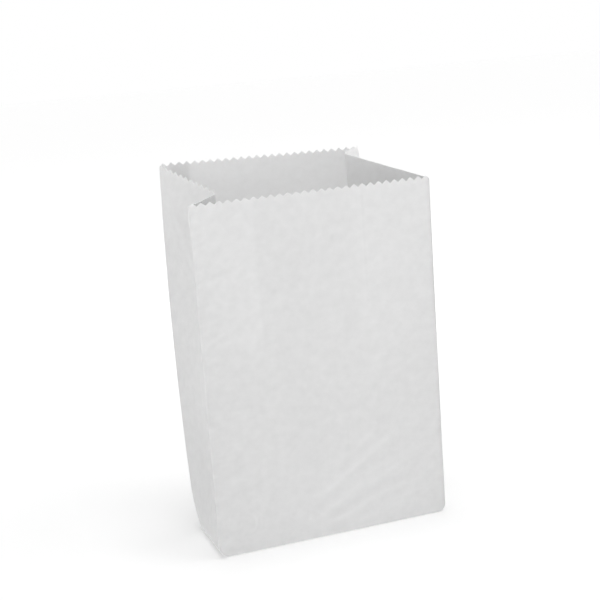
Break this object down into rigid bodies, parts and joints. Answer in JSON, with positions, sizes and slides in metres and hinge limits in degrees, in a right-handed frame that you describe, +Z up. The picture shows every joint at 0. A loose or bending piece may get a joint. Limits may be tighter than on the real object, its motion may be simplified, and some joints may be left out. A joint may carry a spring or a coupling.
{
  "type": "paper bag",
  "caption": "Gusseted paper bag with a zigzag-cut mouth and a flat folded bottom, standing open and empty.",
  "frame": {"origin": "middle of the bag's box in X and Y, on the surface it stands on", "axes": "+Z up out of the mouth, -Y towards the front panel, which leans out over its base edge, +X along the front panel to the viewer's right"},
  "size_m": [0.1501, 0.1132, 0.2313],
  "materials": {
    "bleached_kraft_paper": "matt, lightly crumpled"
  },
  "bodies": {
    "root": {"bag": "bleached_kraft_paper"}
  },
  "joints": []
}
